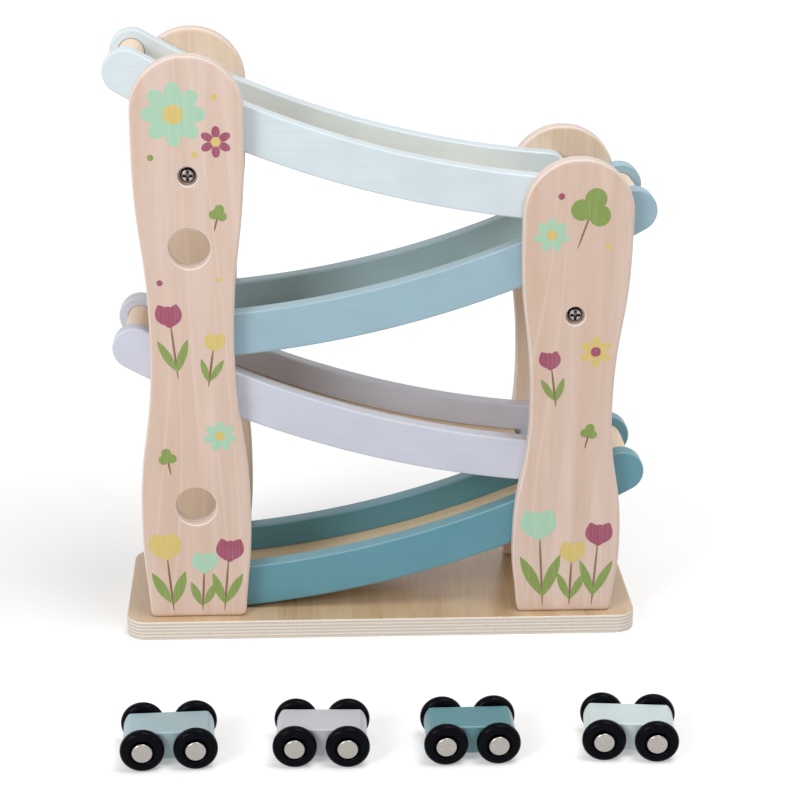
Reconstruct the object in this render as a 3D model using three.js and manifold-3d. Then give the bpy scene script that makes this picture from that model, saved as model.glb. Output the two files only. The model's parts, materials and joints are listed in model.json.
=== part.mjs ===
// A wooden zig-zag car run: curved ramps between two pairs of wavy posts on a base board, with a row of
// little cars in front of it. Each ramp drops its car on the next one down.
// Millimetres, +Z up. The origin is the middle of the base board's underside, and the cars stand towards -Y.

import * as THREE from 'three';
import { mergeVertices } from 'three/addons/utils/BufferGeometryUtils.js';
import Module from 'manifold-3d';

const wasm = await Module();
wasm.setup();

// Fits
const SEAT_GAP = 0.2; // between faces that rest or are glued on each other
const PIN_GAP = 0.3; // round a pin, a screw or a floor's edge in its hole or groove
const AXLE_CLEARANCE = 0.15; // round an axle in a wheel or a car body
const CHANNEL_PLAY = 2.4; // beside a car, between its axles' heads and a ramp's rail
const OVERCUT = 1; // how far a cutter runs past the face that it breaks through

// Ramps: an arc that is steep at its upper end and almost level at its lower end
const RAMP_COUNT = 4;
const RAMP_RADIUS = 480; // of the rails' top edge
const RAIL_HEIGHT = 21.5;
const RAIL_THICKNESS = 9;
const FLOOR_THICKNESS = 4;
const FLOOR_LIP = 4; // from the floor's underside down to the rails' underside
const GROOVE_DEPTH = 3;
const GROOVE_RUNOUT = 1.2; // straight groove left open past the floor's lower end
const ARC_OVERHANG = 27.5; // from the lower post's centre line out to the arc's centre
const UPPER_OVERHANG = 28.2; // from the upper post's centre line out to the bumper dowel
const LOWER_OVERHANG = 0.5; // from the lower post's centre line out to the rails' lower end
const FLOOR_STOP = 21.3; // from the lower post's centre line back to the floor's end
const LOWER_TOP_RADIUS = 8; // corners of the rails' lower end
const LOWER_UNDER_RADIUS = 12;
const STACK_GAP = 3.6; // from a rail's underside down to the next ramp's rail, where its lower corner starts
const DOWEL_DIAMETER = 12.5;
const DOWEL_SOCKET = 5;
const FLOOR_END_GAP = 0.5; // between the floor's upper end and the bumper dowel

// Posts
const POST_OFFSET = 92.5; // from the middle of the base to a post's centre line
const POST_THICKNESS = 9;
const POST_EDGE = 1.2; // rounding of the edges
const POST_FOOT_WIDTH = 48;
const POST_FOOT_RADIUS = 3;
const POST_BULGE_WIDTH = 54;
const POST_WAIST_WIDTH = 40.4;
const POST_TOP_WIDTH = 53;
const POST_SHOULDER = 13; // straight stretch under the round top
const LEFT_POST_RISE = 12.5; // from the topmost rails to the top of the post
const LEFT_WAIST_HEIGHT = 143;
const LEFT_BULGE_HEIGHT = 52;
const RIGHT_POST_RISE = 30.8;
const RIGHT_WAIST_HEIGHT = 109;
const RIGHT_BULGE_HEIGHT = 38;
const PEEP_HOLE_DIAMETER = 20;
const UPPER_HOLE_DROP = 55.7; // from the rails above a hole down to its centre
const LOWER_HOLE_DROP = 53.1;

// Cross bars and screws
const CROSS_BAR_DIAMETER = 14;
const LEFT_BAR_DROP = 20.6; // from the topmost rails' underside down to the bar's centre
const RIGHT_BAR_DROP = 23;
const SCREW_DIAMETER = 4;
const SCREW_LENGTH = 25;
const SCREW_TIP = 4;
const SCREW_HEAD_DIAMETER = 7.2;
const SCREW_HEAD_HEIGHT = 2;
const SCREW_HEAD_EDGE = 0.6;
const SCREW_SLOT_LENGTH = 4.4;
const SCREW_SLOT_WIDTH = 1.2;
const SCREW_SLOT_DEPTH = 1.1;
const COUNTERBORE_CLEARANCE = 1; // round a screw's head
const POST_HEAD_SINK = 1.6; // from a post's face down to a screw's head
const BASE_HEAD_SINK = 1.8; // from the base's underside up to a screw's head

// Base board
const BASE_THICKNESS = 10;
const BASE_END_MARGIN = 12.5; // beyond the posts' feet
const BASE_SIDE_MARGIN = 5.5;
const BASE_CORNER_RADIUS = 10;
const BASE_EDGE = 0.8;

// Cars
const WHEEL_DIAMETER = 20;
const WHEEL_WIDTH = 5.2;
const TYRE_ROUND = 2.2; // rounding of the tread's shoulders
const TYRE_RIM = 1; // least flat rim between the hub and a shoulder
const HUB_CLEARANCE = 0.7; // round an axle's head in the hub
const HUB_DEPTH = 1.4; // of the hub, sunk in the wheel's face
const WHEEL_SPACING = 3.8; // between the two wheels on one side of a car
const WHEEL_SIDE_GAP = 0.5; // between a wheel and the car's body
const AXLE_DIAMETER = 3;
const AXLE_HEAD_DIAMETER = 9.4;
const AXLE_HEAD_THICKNESS = 3.6;
const AXLE_HEAD_EDGE = 0.6;
const CAR_LENGTH = 41;
const CAR_WIDTH = 19;
const CAR_HEIGHT = 13.6;
const CAR_CORNER_RADIUS = 5;
const CAR_EDGE = 1.5;
const CAR_ROW_GAP = 113; // from the base's front edge to the cars' middle line
const FIRST_CAR_X = -102;
const SECOND_CAR_X = -33;
const THIRD_CAR_X = 34.5;
const FOURTH_CAR_X = 107.5;
const FIRST_CAR_TURN = 2.5; // degrees
const SECOND_CAR_TURN = -2;
const THIRD_CAR_TURN = 0.5;
const FOURTH_CAR_TURN = -5.5;

// Facets
const LONG_ARC_STEPS = 10;
const END_ARC_STEPS = 8;
const CORNER_STEPS = 4;
const POST_CURVE_STEPS = 5;
const EDGE_STEPS = 1;
const HOLE_SIDES = 24;
const ROD_SIDES = 16;
const PIN_SIDES = 10;
const WHEEL_SIDES = 14;
const SAME_POINT = 0.001; // points of an outline closer than this are one point

// Colours and finishes
const WOOD = { color: 0xdec4b0, roughness: 0.6, metalness: 0 };
const PLYWOOD = { color: 0xd9bb96, roughness: 0.6, metalness: 0 };
const STEEL = { color: 0xc9c4c0, roughness: 0.25, metalness: 1 };
const BLACK_SCREW = { color: 0x3a3436, roughness: 0.35, metalness: 0.9 };
const TYRE = { color: 0x0a0c12, roughness: 0.25, metalness: 0 };
const RAMP_PAINTS = [0xd4e0e8, 0xa0bac8, 0xcbcedc, 0x6294a4];
const CAR_PAINTS = [0xa5bec6, 0xcbccd4, 0x6e9ba2, 0xd4e1e0];
const PAINT_ROUGHNESS = 0.5;

// Places that follow from the sizes above
const WHEEL_MIDDLE = CAR_WIDTH / 2 + WHEEL_SIDE_GAP + WHEEL_WIDTH / 2;
const AXLE_SEAT = WHEEL_MIDDLE + WHEEL_WIDTH / 2 - HUB_DEPTH + SEAT_GAP;
const AXLE_END = AXLE_SEAT + AXLE_HEAD_THICKNESS;
const RAIL_INNER_FACE = AXLE_END + CHANNEL_PLAY;
const CHANNEL_WIDTH = 2 * RAIL_INNER_FACE;
const RAIL_OUTER_FACE = RAIL_INNER_FACE + RAIL_THICKNESS;
const POST_INNER_FACE = RAIL_OUTER_FACE + SEAT_GAP;
const POST_OUTER_FACE = POST_INNER_FACE + POST_THICKNESS;
const BASE_HALF_DEPTH = POST_OUTER_FACE + BASE_SIDE_MARGIN;
const BASE_HALF_LENGTH = POST_OFFSET + POST_FOOT_WIDTH / 2 + BASE_END_MARGIN;
const FOOT_LEVEL = BASE_THICKNESS + SEAT_GAP;

// A ramp's own frame has its arc's centre at X = ARC_X and Z = 0. Angles along it are measured at that
// centre, from straight down towards the upper end.
const MID_RADIUS = RAMP_RADIUS + RAIL_HEIGHT / 2;
const UNDER_RADIUS = RAMP_RADIUS + RAIL_HEIGHT;
const FLOOR_UNDER_RADIUS = UNDER_RADIUS - FLOOR_LIP;
const FLOOR_RADIUS = FLOOR_UNDER_RADIUS - FLOOR_THICKNESS;
const UNDER_CORNER_RADIUS = Math.min(LOWER_UNDER_RADIUS, RAIL_HEIGHT - LOWER_TOP_RADIUS);
const ARC_X = POST_OFFSET + ARC_OVERHANG;
const UPPER_ANGLE = Math.asin((ARC_X + POST_OFFSET + UPPER_OVERHANG) / MID_RADIUS);
const LOWER_ANGLE = Math.asin((ARC_OVERHANG - LOWER_OVERHANG) / MID_RADIUS);
const FLOOR_UPPER_ANGLE = UPPER_ANGLE - (DOWEL_DIAMETER / 2 + FLOOR_END_GAP) / MID_RADIUS;
const FLOOR_LOWER_ANGLE = Math.asin((ARC_OVERHANG + FLOOR_STOP) / FLOOR_RADIUS);

// Depth of an arc of the given radius below its centre, at a distance to the side of that centre.
function arcDepth(radius, sideways) {
  return Math.sqrt(radius * radius - sideways * sideways);
}

// The lowest ramp rests on the base, and each ramp clears the one below it by STACK_GAP.
function rampCentreHeights() {
  const cornerRadius = UNDER_RADIUS - UNDER_CORNER_RADIUS;
  const cornerAngle = LOWER_ANGLE + Math.asin(UNDER_CORNER_RADIUS / cornerRadius);
  const lowestPoint = cornerRadius * Math.cos(cornerAngle) + UNDER_CORNER_RADIUS;
  const cornerX = POST_OFFSET + LOWER_OVERHANG - UNDER_CORNER_RADIUS;
  const pitch = STACK_GAP + arcDepth(UNDER_RADIUS, ARC_X - cornerX) - arcDepth(RAMP_RADIUS, ARC_X + cornerX);
  const heights = [];
  for (let level = RAMP_COUNT - 1; level >= 0; level -= 1) {
    heights.push(FOOT_LEVEL + lowestPoint + level * pitch);
  }
  return heights;
}

const RAMP_CENTRES = rampCentreHeights();

// Height of a ramp's rails, top edge or underside, where they pass the post at its upper end.
function railTopAtPost(ramp) {
  return RAMP_CENTRES[ramp] - arcDepth(RAMP_RADIUS, ARC_X + POST_OFFSET);
}

function railUndersideAtPost(ramp) {
  return RAMP_CENTRES[ramp] - arcDepth(UNDER_RADIUS, ARC_X + POST_OFFSET);
}

const POST_PAIRS = [
  {
    name: 'left',
    x: -POST_OFFSET,
    top: railTopAtPost(0) + LEFT_POST_RISE,
    waist: LEFT_WAIST_HEIGHT,
    bulge: LEFT_BULGE_HEIGHT,
    bar: railUndersideAtPost(0) - LEFT_BAR_DROP,
    holes: [railUndersideAtPost(0) - UPPER_HOLE_DROP, railUndersideAtPost(2) - LOWER_HOLE_DROP],
  },
  {
    name: 'right',
    x: POST_OFFSET,
    top: railTopAtPost(1) + RIGHT_POST_RISE,
    waist: RIGHT_WAIST_HEIGHT,
    bulge: RIGHT_BULGE_HEIGHT,
    bar: railUndersideAtPost(1) - RIGHT_BAR_DROP,
    holes: [],
  },
];

const DEPTH_SIDES = [
  { name: 'front', turn: 0, sign: -1 },
  { name: 'back', turn: Math.PI, sign: 1 },
];

// Shared corners, without the triangles that collapse on a lathe's axis.
function weld(geometry) {
  geometry.deleteAttribute('normal');
  geometry.deleteAttribute('uv');
  const welded = mergeVertices(geometry);
  const corners = welded.index.array;
  const kept = [];
  for (let start = 0; start < corners.length; start += 3) {
    const [first, second, third] = corners.slice(start, start + 3);
    if (first !== second && second !== third && third !== first) {
      kept.push(first, second, third);
    }
  }
  welded.setIndex(kept);
  welded.computeVertexNormals();
  return welded;
}

function solidOf(geometry) {
  const welded = weld(geometry);
  const vertProperties = new Float32Array(welded.attributes.position.array);
  const triVerts = new Uint32Array(welded.index.array);
  return new wasm.Manifold(new wasm.Mesh({ numProp: 3, vertProperties, triVerts }));
}

// The first geometry with the others cut out of it.
function cut(blank, ...tools) {
  let solid = solidOf(blank);
  for (const tool of tools) {
    solid = solid.subtract(solidOf(tool));
  }
  const mesh = solid.getMesh();
  const geometry = new THREE.BufferGeometry();
  geometry.setAttribute('position', new THREE.BufferAttribute(mesh.vertProperties, 3));
  geometry.setIndex(new THREE.BufferAttribute(mesh.triVerts, 1));
  geometry.computeVertexNormals();
  return geometry;
}

// Points along an arc, clockwise where the angle falls.
function arc(centre, radius, from, to, steps) {
  return new THREE.EllipseCurve(centre.x, centre.y, radius, radius, from, to, to < from).getPoints(steps);
}

// A closed shape from stretches of points that follow each other.
function outlineOf(...stretches) {
  const points = stretches.flat();
  const distinct = points.filter((point, index) => point.distanceTo(points.at(index - 1)) > SAME_POINT);
  return new THREE.Shape(distinct);
}

// A flat shape given a thickness along +Z, with its outer edges rounded by edge.
function plate(shape, thickness, edge = 0) {
  const geometry = new THREE.ExtrudeGeometry(shape, {
    depth: thickness - 2 * edge,
    bevelEnabled: edge > 0,
    bevelThickness: edge,
    bevelSize: edge,
    bevelOffset: -edge,
    bevelSegments: EDGE_STEPS,
    curveSegments: POST_CURVE_STEPS,
  });
  geometry.translate(0, 0, edge);
  return geometry;
}

// The same plate on edge: the shape's X and Y become X and Z, and its thickness runs from nearY towards +Y.
function uprightPlate(shape, thickness, nearY, edge = 0) {
  const geometry = plate(shape, thickness, edge);
  geometry.rotateX(Math.PI / 2);
  geometry.translate(0, nearY + thickness, 0);
  return geometry;
}

// A round bar along Y.
function rod(diameter, length, sides, x = 0, y = 0, z = 0) {
  const geometry = new THREE.CylinderGeometry(diameter / 2, diameter / 2, length, sides);
  geometry.translate(x, y, z);
  return geometry;
}

function roundedRectangle(length, width, radius) {
  const x = length / 2 - radius;
  const y = width / 2 - radius;
  const corners = [[x, y], [-x, y], [-x, -y], [x, -y]].map(([cornerX, cornerY], index) => {
    const from = (index * Math.PI) / 2;
    return arc(new THREE.Vector2(cornerX, cornerY), radius, from, from + Math.PI / 2, CORNER_STEPS);
  });
  return outlineOf(...corners);
}

function makeMesh(name, geometry, finish) {
  const mesh = new THREE.Mesh(geometry, new THREE.MeshStandardMaterial(finish));
  mesh.name = name;
  return mesh;
}

function paint(color) {
  return { color, roughness: PAINT_ROUGHNESS, metalness: 0 };
}

// Screws: a plain shank with a point, and a round head with a cross slot. The head's underside is at Y = 0
// and the shank runs towards +Y.
const SCREW_HOLE_DIAMETER = SCREW_DIAMETER + 2 * PIN_GAP;
const COUNTERBORE_DIAMETER = SCREW_HEAD_DIAMETER + 2 * COUNTERBORE_CLEARANCE;
const POST_COUNTERBORE = POST_HEAD_SINK + SCREW_HEAD_HEIGHT + SEAT_GAP;
const BASE_COUNTERBORE = BASE_HEAD_SINK + SCREW_HEAD_HEIGHT + SEAT_GAP;

function screwGeometry() {
  const headRadius = SCREW_HEAD_DIAMETER / 2;
  const profile = [
    new THREE.Vector2(0, -SCREW_HEAD_HEIGHT),
    new THREE.Vector2(headRadius - SCREW_HEAD_EDGE, -SCREW_HEAD_HEIGHT),
    new THREE.Vector2(headRadius, -SCREW_HEAD_HEIGHT + SCREW_HEAD_EDGE),
    new THREE.Vector2(headRadius, 0),
    new THREE.Vector2(SCREW_DIAMETER / 2, 0),
    new THREE.Vector2(SCREW_DIAMETER / 2, SCREW_LENGTH - SCREW_TIP),
    new THREE.Vector2(0, SCREW_LENGTH),
  ];
  const slots = [];
  for (const turn of [0, Math.PI / 2]) {
    const slot = new THREE.BoxGeometry(SCREW_SLOT_LENGTH, 2 * SCREW_SLOT_DEPTH, SCREW_SLOT_WIDTH);
    slot.rotateY(turn);
    slot.translate(0, -SCREW_HEAD_HEIGHT, 0);
    slots.push(slot);
  }
  return cut(new THREE.LatheGeometry(profile, PIN_SIDES), ...slots);
}

// Base board, with a stepped hole from below under each post
function makeBase() {
  const outline = roundedRectangle(2 * BASE_HALF_LENGTH, 2 * BASE_HALF_DEPTH, BASE_CORNER_RADIUS);
  const tools = [];
  for (const pair of POST_PAIRS) {
    for (const side of DEPTH_SIDES) {
      const y = side.sign * (POST_INNER_FACE + POST_THICKNESS / 2);
      const hole = rod(SCREW_HOLE_DIAMETER, 2 * (BASE_THICKNESS + OVERCUT), PIN_SIDES);
      const counterbore = rod(COUNTERBORE_DIAMETER, 2 * BASE_COUNTERBORE, ROD_SIDES);
      for (const tool of [hole, counterbore]) {
        tool.rotateX(Math.PI / 2);
        tool.translate(pair.x, y, 0);
        tools.push(tool);
      }
    }
  }
  return makeMesh('base_board', cut(plate(outline, BASE_THICKNESS, BASE_EDGE), ...tools), PLYWOOD);
}

// A post's outline, from its foot at Y = 0 up one side, over the round top and down the other side
function postOutline(height, waist, bulge) {
  const foot = POST_FOOT_WIDTH / 2;
  const wide = POST_BULGE_WIDTH / 2;
  const narrow = POST_WAIST_WIDTH / 2;
  const top = POST_TOP_WIDTH / 2;
  const topCentre = height - top;
  const shoulder = topCentre - POST_SHOULDER;
  const lowMiddle = (bulge + waist) / 2;
  const highMiddle = (waist + shoulder) / 2;
  const footMiddle = (POST_FOOT_RADIUS + bulge) / 2;
  const flare = (foot + wide) / 2;
  const shape = new THREE.Shape();
  shape.moveTo(-foot + POST_FOOT_RADIUS, 0);
  shape.lineTo(foot - POST_FOOT_RADIUS, 0);
  shape.quadraticCurveTo(foot, 0, foot, POST_FOOT_RADIUS);
  shape.bezierCurveTo(flare, footMiddle, wide, footMiddle, wide, bulge);
  shape.bezierCurveTo(wide, lowMiddle, narrow, lowMiddle, narrow, waist);
  shape.bezierCurveTo(narrow, highMiddle, top, highMiddle, top, shoulder);
  shape.absarc(0, topCentre, top, 0, Math.PI);
  shape.lineTo(-top, shoulder);
  shape.bezierCurveTo(-top, highMiddle, -narrow, highMiddle, -narrow, waist);
  shape.bezierCurveTo(-narrow, lowMiddle, -wide, lowMiddle, -wide, bulge);
  shape.bezierCurveTo(-wide, footMiddle, -flare, footMiddle, -foot, POST_FOOT_RADIUS);
  shape.quadraticCurveTo(-foot, 0, -foot + POST_FOOT_RADIUS, 0);
  return shape;
}

// A post stands on its foot at Z = 0, with its outer face at Y = 0 and its inner face towards +Y.
function postGeometry(pair) {
  const shape = postOutline(pair.top - FOOT_LEVEL, pair.waist, pair.bulge);
  const blank = uprightPlate(shape, POST_THICKNESS, 0, POST_EDGE);
  const barLevel = pair.bar - FOOT_LEVEL;
  const cutLength = 2 * (POST_THICKNESS + OVERCUT);
  const tools = [
    rod(SCREW_HOLE_DIAMETER, cutLength, PIN_SIDES, 0, 0, barLevel),
    rod(COUNTERBORE_DIAMETER, 2 * POST_COUNTERBORE, ROD_SIDES, 0, 0, barLevel),
  ];
  for (const hole of pair.holes) {
    tools.push(rod(PEEP_HOLE_DIAMETER, cutLength, HOLE_SIDES, 0, 0, hole - FOOT_LEVEL));
  }
  const footHole = rod(SCREW_HOLE_DIAMETER, 2 * (SCREW_LENGTH + PIN_GAP), PIN_SIDES);
  footHole.rotateX(Math.PI / 2);
  footHole.translate(0, POST_THICKNESS / 2, BASE_COUNTERBORE - FOOT_LEVEL);
  tools.push(footHole);
  return cut(blank, ...tools);
}

function makePosts() {
  const group = new THREE.Group();
  const screw = screwGeometry();
  for (const pair of POST_PAIRS) {
    const geometry = postGeometry(pair);
    for (const side of DEPTH_SIDES) {
      const place = `${side.name}_${pair.name}`;
      const post = makeMesh(`post_${place}`, geometry, WOOD);
      post.position.set(pair.x, side.sign * POST_OUTER_FACE, FOOT_LEVEL);
      post.rotation.z = side.turn;
      const postScrew = makeMesh(`post_screw_${place}`, screw, BLACK_SCREW);
      const headSeat = POST_OUTER_FACE - POST_COUNTERBORE + SEAT_GAP;
      postScrew.position.set(pair.x, side.sign * headSeat, pair.bar);
      postScrew.rotation.z = side.turn;
      const footScrew = makeMesh(`foot_screw_${place}`, screw, BLACK_SCREW);
      const footY = side.sign * (POST_INNER_FACE + POST_THICKNESS / 2);
      footScrew.position.set(pair.x, footY, BASE_COUNTERBORE - SEAT_GAP);
      footScrew.rotation.x = Math.PI / 2;
      group.add(post, postScrew, footScrew);
    }
    group.add(makeCrossBar(pair));
  }
  return group;
}

// A round bar between a front and a back post, drilled at both ends for their screws
function makeCrossBar(pair) {
  const length = 2 * (POST_INNER_FACE - SEAT_GAP);
  const screwReach = SCREW_LENGTH - POST_THICKNESS + POST_COUNTERBORE;
  const tools = DEPTH_SIDES.map((side) =>
    rod(SCREW_HOLE_DIAMETER, 2 * (screwReach + PIN_GAP), PIN_SIDES, 0, (side.sign * length) / 2));
  const geometry = cut(rod(CROSS_BAR_DIAMETER, length, ROD_SIDES), ...tools);
  const bar = makeMesh(`cross_bar_${pair.name}`, geometry, WOOD);
  bar.position.set(pair.x, 0, pair.bar);
  return bar;
}

// Ramps. In these outlines an angle along the ramp becomes a direction at the arc's centre.
const ARC_CENTRE = new THREE.Vector2(ARC_X, 0);

function direction(angle) {
  return -Math.PI / 2 - angle;
}

function rampPoint(radius, angle) {
  return new THREE.Vector2(ARC_X - radius * Math.sin(angle), -radius * Math.cos(angle));
}

// A rail's outline: the top edge, the lower end with its two corners, the underside and the round upper end
function railOutline() {
  const topCorner = RAMP_RADIUS + LOWER_TOP_RADIUS;
  const underCorner = UNDER_RADIUS - UNDER_CORNER_RADIUS;
  const topAngle = LOWER_ANGLE + Math.asin(LOWER_TOP_RADIUS / topCorner);
  const underAngle = LOWER_ANGLE + Math.asin(UNDER_CORNER_RADIUS / underCorner);
  const topSpot = rampPoint(topCorner, topAngle);
  const underSpot = rampPoint(underCorner, underAngle);
  const upperSpot = rampPoint(MID_RADIUS, UPPER_ANGLE);
  const upperTurn = direction(UPPER_ANGLE);
  return outlineOf(
    arc(ARC_CENTRE, RAMP_RADIUS, upperTurn, direction(topAngle), LONG_ARC_STEPS),
    arc(topSpot, LOWER_TOP_RADIUS, Math.PI / 2 - topAngle, -LOWER_ANGLE, CORNER_STEPS),
    arc(underSpot, UNDER_CORNER_RADIUS, -LOWER_ANGLE, direction(underAngle), CORNER_STEPS),
    arc(ARC_CENTRE, UNDER_RADIUS, direction(underAngle), upperTurn, LONG_ARC_STEPS),
    arc(upperSpot, RAIL_HEIGHT / 2, upperTurn, upperTurn - Math.PI, END_ARC_STEPS),
  );
}

// A bent strip between two radii and two angles
function stripOutline(radius, underRadius, upperAngle, lowerAngle) {
  return outlineOf(
    arc(ARC_CENTRE, radius, direction(upperAngle), direction(lowerAngle), LONG_ARC_STEPS),
    arc(ARC_CENTRE, underRadius, direction(lowerAngle), direction(upperAngle), LONG_ARC_STEPS),
  );
}

// The groove that a floor slides into, with the round end that its cutter leaves
function grooveOutline() {
  const radius = FLOOR_RADIUS - PIN_GAP;
  const underRadius = FLOOR_UNDER_RADIUS + PIN_GAP;
  const midRadius = (radius + underRadius) / 2;
  const endRadius = (underRadius - radius) / 2;
  const lowerAngle = FLOOR_LOWER_ANGLE - GROOVE_RUNOUT / midRadius;
  const endSpot = rampPoint(midRadius, lowerAngle);
  return outlineOf(
    arc(ARC_CENTRE, radius, direction(UPPER_ANGLE), direction(lowerAngle), LONG_ARC_STEPS),
    arc(endSpot, endRadius, Math.PI / 2 - lowerAngle, direction(lowerAngle), CORNER_STEPS),
    arc(ARC_CENTRE, underRadius, direction(lowerAngle), direction(UPPER_ANGLE), LONG_ARC_STEPS),
  );
}

// The rail on one side of the channel: sign -1 is towards -Y in the ramp's own frame.
function railGeometry(sign) {
  const nearY = sign < 0 ? -RAIL_OUTER_FACE : RAIL_INNER_FACE;
  const innerFace = sign * RAIL_INNER_FACE;
  const blank = uprightPlate(railOutline(), RAIL_THICKNESS, nearY);
  const groove = uprightPlate(grooveOutline(), 2 * GROOVE_DEPTH, innerFace - GROOVE_DEPTH);
  const end = rampPoint(MID_RADIUS, UPPER_ANGLE);
  const socket = rod(DOWEL_DIAMETER + 2 * PIN_GAP, 2 * DOWEL_SOCKET, ROD_SIDES, end.x, innerFace, end.y);
  return cut(blank, groove, socket);
}

function floorGeometry() {
  const width = CHANNEL_WIDTH + 2 * (GROOVE_DEPTH - PIN_GAP);
  const outline = stripOutline(FLOOR_RADIUS, FLOOR_UNDER_RADIUS, FLOOR_UPPER_ANGLE, FLOOR_LOWER_ANGLE);
  return uprightPlate(outline, width, -width / 2);
}

function bumperGeometry() {
  const length = CHANNEL_WIDTH + 2 * (DOWEL_SOCKET - PIN_GAP);
  const end = rampPoint(MID_RADIUS, UPPER_ANGLE);
  return rod(DOWEL_DIAMETER, length, ROD_SIDES, end.x, 0, end.y);
}

// Ramps alternate: every second one is turned half round, so that its rails swap places.
function makeRamps() {
  const group = new THREE.Group();
  const nearRail = railGeometry(-1);
  const farRail = railGeometry(1);
  const floor = floorGeometry();
  const bumper = bumperGeometry();
  RAMP_CENTRES.forEach((centre, index) => {
    const turned = index % 2 === 1;
    const name = `ramp_${index + 1}`;
    const finish = paint(RAMP_PAINTS[index % RAMP_PAINTS.length]);
    const ramp = new THREE.Group();
    ramp.add(
      makeMesh(`${name}_front_rail`, turned ? farRail : nearRail, finish),
      makeMesh(`${name}_back_rail`, turned ? nearRail : farRail, finish),
      makeMesh(`${name}_floor`, floor, PLYWOOD),
      makeMesh(`${name}_bumper_dowel`, bumper, WOOD),
    );
    ramp.position.z = centre;
    ramp.rotation.z = turned ? Math.PI : 0;
    group.add(ramp);
  });
  return group;
}

// Cars. A car's own frame has its middle on the table below its centre, with its length along X.
const AXLE_LEVEL = WHEEL_DIAMETER / 2;
const AXLE_HOLE_DIAMETER = AXLE_DIAMETER + 2 * AXLE_CLEARANCE;
const HUB_RECESS_DIAMETER = AXLE_HEAD_DIAMETER + 2 * HUB_CLEARANCE;
const WHEEL_BASE = WHEEL_DIAMETER + WHEEL_SPACING;
const CAR_PLACES = [
  { x: FIRST_CAR_X, turn: FIRST_CAR_TURN },
  { x: SECOND_CAR_X, turn: SECOND_CAR_TURN },
  { x: THIRD_CAR_X, turn: THIRD_CAR_TURN },
  { x: FOURTH_CAR_X, turn: FOURTH_CAR_TURN },
];

function carBodyGeometry() {
  const outline = roundedRectangle(CAR_LENGTH, CAR_WIDTH, CAR_CORNER_RADIUS);
  const blank = plate(outline, CAR_HEIGHT, CAR_EDGE);
  blank.translate(0, 0, AXLE_LEVEL - CAR_HEIGHT / 2);
  const holes = [-1, 1].map((end) =>
    rod(AXLE_HOLE_DIAMETER, CAR_WIDTH + 2 * OVERCUT, PIN_SIDES, (end * WHEEL_BASE) / 2, 0, AXLE_LEVEL));
  return cut(blank, ...holes);
}

// A wheel turns about Y: a bore, a hub sunk in the outer face, which is towards -Y, and a tread with round
// shoulders.
function wheelGeometry() {
  const bore = AXLE_HOLE_DIAMETER / 2;
  const recess = HUB_RECESS_DIAMETER / 2;
  const radius = WHEEL_DIAMETER / 2;
  const face = WHEEL_WIDTH / 2;
  const hub = face - HUB_DEPTH;
  const shoulder = Math.min(TYRE_ROUND, radius - recess - TYRE_RIM);
  const corner = shoulder * (1 - Math.SQRT1_2);
  const loop = [
    [bore, -hub],
    [recess, -hub],
    [recess, -face],
    [radius - shoulder, -face],
    [radius - corner, -face + corner],
    [radius, -face + shoulder],
    [radius, face - shoulder],
    [radius - corner, face - corner],
    [radius - shoulder, face],
    [bore, face],
    [bore, -hub],
  ];
  return weld(new THREE.LatheGeometry(loop.map(([x, y]) => new THREE.Vector2(x, y)), WHEEL_SIDES));
}

// An axle runs along Y through both wheels and the body, with a head that stands out of each hub.
function axleGeometry() {
  const radius = AXLE_DIAMETER / 2;
  const head = AXLE_HEAD_DIAMETER / 2;
  const nearHalf = [
    [0, -AXLE_END],
    [head - AXLE_HEAD_EDGE, -AXLE_END],
    [head, -AXLE_END + AXLE_HEAD_EDGE],
    [head, -AXLE_SEAT],
    [radius, -AXLE_SEAT],
  ];
  const farHalf = nearHalf.map(([x, y]) => [x, -y]).reverse();
  const profile = [...nearHalf, ...farHalf];
  return weld(new THREE.LatheGeometry(profile.map(([x, y]) => new THREE.Vector2(x, y)), PIN_SIDES));
}

function makeCars() {
  const group = new THREE.Group();
  const body = carBodyGeometry();
  const wheel = wheelGeometry();
  const axle = axleGeometry();
  const ends = [{ name: 'left', sign: -1 }, { name: 'right', sign: 1 }];
  const sides = [{ name: 'near', sign: -1, turn: 0 }, { name: 'far', sign: 1, turn: Math.PI }];
  CAR_PLACES.forEach((place, index) => {
    const name = `car_${index + 1}`;
    const car = new THREE.Group();
    car.add(makeMesh(`${name}_body`, body, paint(CAR_PAINTS[index])));
    for (const end of ends) {
      const x = (end.sign * WHEEL_BASE) / 2;
      const carAxle = makeMesh(`${name}_axle_${end.name}`, axle, STEEL);
      carAxle.position.set(x, 0, AXLE_LEVEL);
      car.add(carAxle);
      for (const side of sides) {
        const carWheel = makeMesh(`${name}_wheel_${end.name}_${side.name}`, wheel, TYRE);
        carWheel.position.set(x, side.sign * WHEEL_MIDDLE, AXLE_LEVEL);
        carWheel.rotation.z = side.turn;
        car.add(carWheel);
      }
    }
    car.position.set(place.x, -BASE_HALF_DEPTH - CAR_ROW_GAP, 0);
    car.rotation.z = THREE.MathUtils.degToRad(place.turn);
    group.add(car);
  });
  return group;
}

const carRun = new THREE.Group();
carRun.add(makeBase(), makePosts(), makeRamps(), makeCars());

export default carRun;
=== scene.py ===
"""A wooden zig-zag car run: its finished pieces, their wood, paint and prints, and a studio round them.

Lengths are in metres, +Z is up, the taller posts are at -X and the cars stand towards -Y.
"""

import json
import math

import bmesh
import bpy
from bpy.props import FloatProperty, FloatVectorProperty, PointerProperty
from mathutils import Matrix, Vector
from mathutils.geometry import interpolate_bezier


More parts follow.
